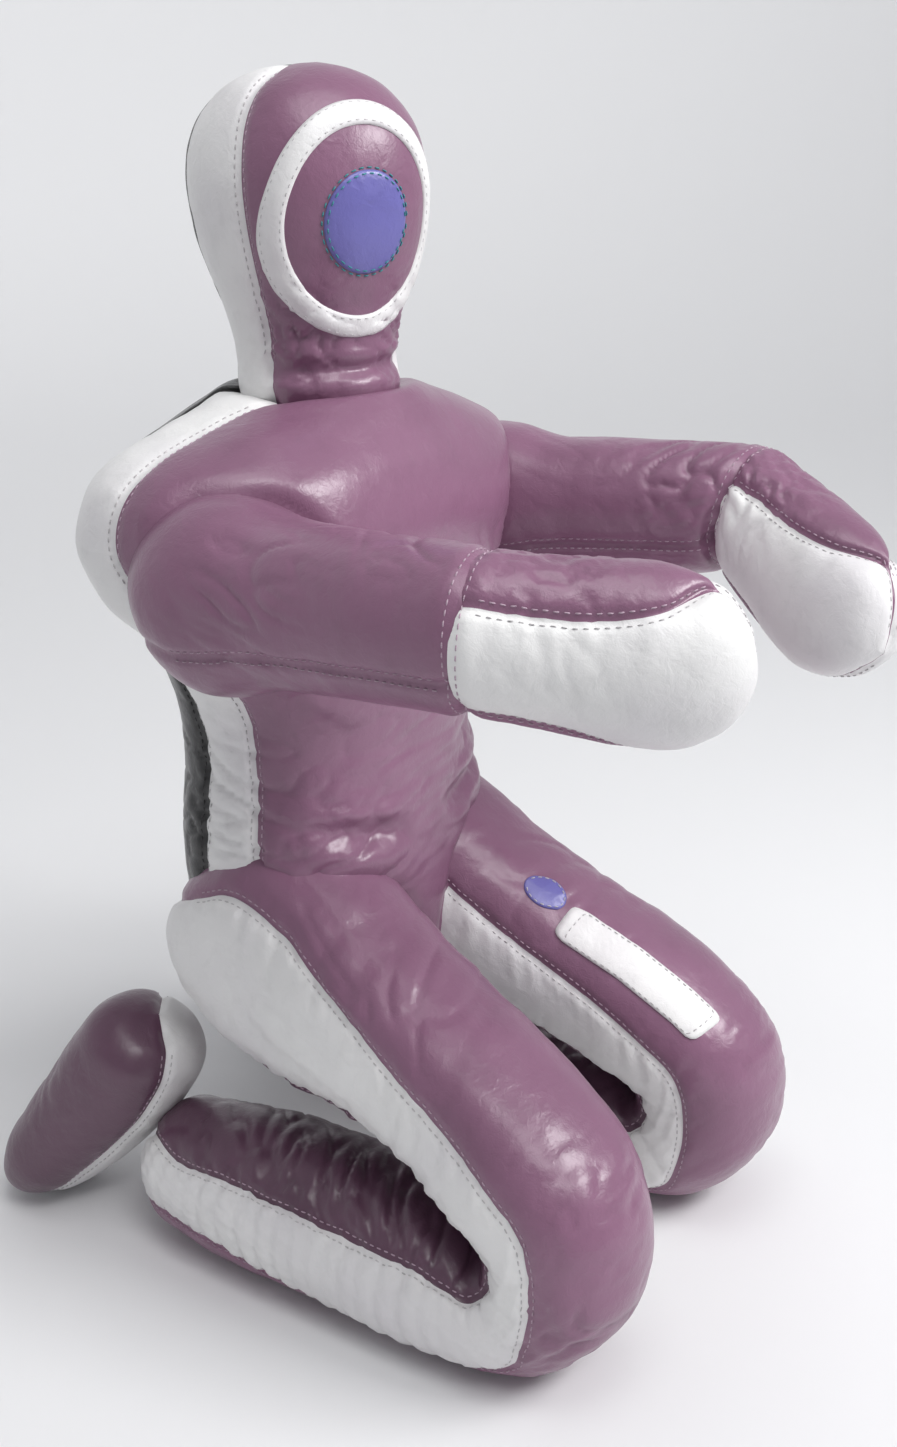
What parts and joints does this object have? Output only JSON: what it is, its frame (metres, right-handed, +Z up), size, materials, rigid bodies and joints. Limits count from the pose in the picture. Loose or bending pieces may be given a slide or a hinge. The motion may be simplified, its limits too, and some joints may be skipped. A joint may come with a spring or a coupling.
{
  "type": "grappling dummy",
  "caption": "Kneeling adult-size stuffed vinyl grappling dummy with arms held forward, target ring on the face, and jointed neck, arms, hips, knees and ankles.",
  "frame": {"origin": "on the floor, in the middle of the dummy's bounding box", "axes": "+Z up; the dummy kneels facing -Y and its right side is -X"},
  "size_m": [0.5852, 0.7749, 1.0894],
  "materials": {
    "purple_vinyl": "semi-gloss grained vinyl",
    "dark_vinyl": "semi-gloss grained vinyl",
    "white_vinyl": "semi-gloss grained vinyl",
    "blue_vinyl": "semi-gloss grained vinyl",
    "textile_filling": "shredded cloth",
    "zip_cloth": "woven tape",
    "zip_metal": "satin"
  },
  "bodies": {
    "torso": {"torso_filling": "textile_filling", "torso_front_panel": "purple_vinyl", "torso_back_panel": "dark_vinyl", "torso_side_gusset_R": "white_vinyl", "torso_side_gusset_L": "white_vinyl", "zip_tape": "zip_cloth", "zip_slider": "zip_metal", "zip_pull": "zip_metal"},
    "head": {"head_filling": "textile_filling", "head_front_panel": "purple_vinyl", "head_back_panel": "dark_vinyl", "head_side_gusset_R": "white_vinyl", "head_side_gusset_L": "white_vinyl", "face_ring": "white_vinyl", "face_bullseye": "blue_vinyl"},
    "upper_arm_R": {"upper_arm_filling_R": "textile_filling", "upper_arm_top_panel_R": "purple_vinyl", "upper_arm_under_panel_R": "purple_vinyl"},
    "mitt_R": {"mitt_filling_R": "textile_filling", "mitt_top_panel_R": "purple_vinyl", "mitt_outer_panel_R": "white_vinyl", "mitt_under_panel_R": "purple_vinyl", "mitt_inner_panel_R": "white_vinyl"},
    "thigh_R": {"thigh_filling_R": "textile_filling", "thigh_front_panel_R": "purple_vinyl", "thigh_outer_gusset_R": "white_vinyl", "thigh_back_panel_R": "purple_vinyl", "thigh_inner_gusset_R": "white_vinyl"},
    "shin_R": {"shin_filling_R": "textile_filling", "shin_front_panel_R": "purple_vinyl", "shin_outer_gusset_R": "white_vinyl", "shin_calf_panel_R": "purple_vinyl", "shin_inner_gusset_R": "white_vinyl"},
    "foot_R": {"foot_filling_R": "textile_filling", "foot_sole_panel_R": "purple_vinyl", "foot_instep_panel_R": "white_vinyl"},
    "upper_arm_L": {"upper_arm_filling_L": "textile_filling", "upper_arm_top_panel_L": "purple_vinyl", "upper_arm_under_panel_L": "purple_vinyl"},
    "mitt_L": {"mitt_filling_L": "textile_filling", "mitt_top_panel_L": "purple_vinyl", "mitt_outer_panel_L": "white_vinyl", "mitt_under_panel_L": "purple_vinyl", "mitt_inner_panel_L": "white_vinyl"},
    "thigh_L": {"thigh_filling_L": "textile_filling", "thigh_front_panel_L": "purple_vinyl", "thigh_outer_gusset_L": "white_vinyl", "thigh_back_panel_L": "purple_vinyl", "thigh_inner_gusset_L": "white_vinyl", "thigh_label_patch": "white_vinyl", "thigh_label_disc": "blue_vinyl"},
    "shin_L": {"shin_filling_L": "textile_filling", "shin_front_panel_L": "purple_vinyl", "shin_outer_gusset_L": "white_vinyl", "shin_calf_panel_L": "purple_vinyl", "shin_inner_gusset_L": "white_vinyl"},
    "foot_L": {"foot_filling_L": "textile_filling", "foot_sole_panel_L": "purple_vinyl", "foot_instep_panel_L": "white_vinyl"}
  },
  "joints": [
    {"name": "neck_nod", "type": "hinge", "parent": "torso", "child": "head", "pos_m": [0, 0.1088, 0.8354], "axis": [1, 0, 0], "range_deg": [-20, 20]},
    {"name": "shoulder_R", "type": "hinge", "parent": "torso", "child": "upper_arm_R", "pos_m": [-0.206, 0.0558, 0.6814], "axis": [1, 0, 0], "range_deg": [-30, 25]},
    {"name": "elbow_R", "type": "hinge", "parent": "upper_arm_R", "child": "mitt_R", "pos_m": [-0.24, -0.2082, 0.6984], "axis": [0, 0, 1], "range_deg": [-20, 12]},
    {"name": "hip_R", "type": "hinge", "parent": "torso", "child": "thigh_R", "pos_m": [-0.1, 0.0828, 0.3144], "axis": [1, 0, 0], "range_deg": [-15, 15]},
    {"name": "knee_R", "type": "hinge", "parent": "thigh_R", "child": "shin_R", "pos_m": [-0.148, -0.2202, 0.0914], "axis": [1, 0, 0], "range_deg": [-25, 2]},
    {"name": "ankle_R", "type": "hinge", "parent": "shin_R", "child": "foot_R", "pos_m": [-0.163, 0.1588, 0.0694], "axis": [1, 0, 0], "range_deg": [-12, 5]},
    {"name": "shoulder_L", "type": "hinge", "parent": "torso", "child": "upper_arm_L", "pos_m": [0.206, 0.0558, 0.6814], "axis": [1, 0, 0], "range_deg": [-30, 25]},
    {"name": "elbow_L", "type": "hinge", "parent": "upper_arm_L", "child": "mitt_L", "pos_m": [0.24, -0.2082, 0.6984], "axis": [0, 0, -1], "range_deg": [-20, 12]},
    {"name": "hip_L", "type": "hinge", "parent": "torso", "child": "thigh_L", "pos_m": [0.1, 0.0828, 0.3144], "axis": [1, 0, 0], "range_deg": [-15, 15]},
    {"name": "knee_L", "type": "hinge", "parent": "thigh_L", "child": "shin_L", "pos_m": [0.148, -0.2202, 0.0914], "axis": [1, 0, 0], "range_deg": [-25, 2]},
    {"name": "ankle_L", "type": "hinge", "parent": "shin_L", "child": "foot_L", "pos_m": [0.163, 0.1588, 0.0694], "axis": [1, 0, 0], "range_deg": [-12, 5]}
  ]
}
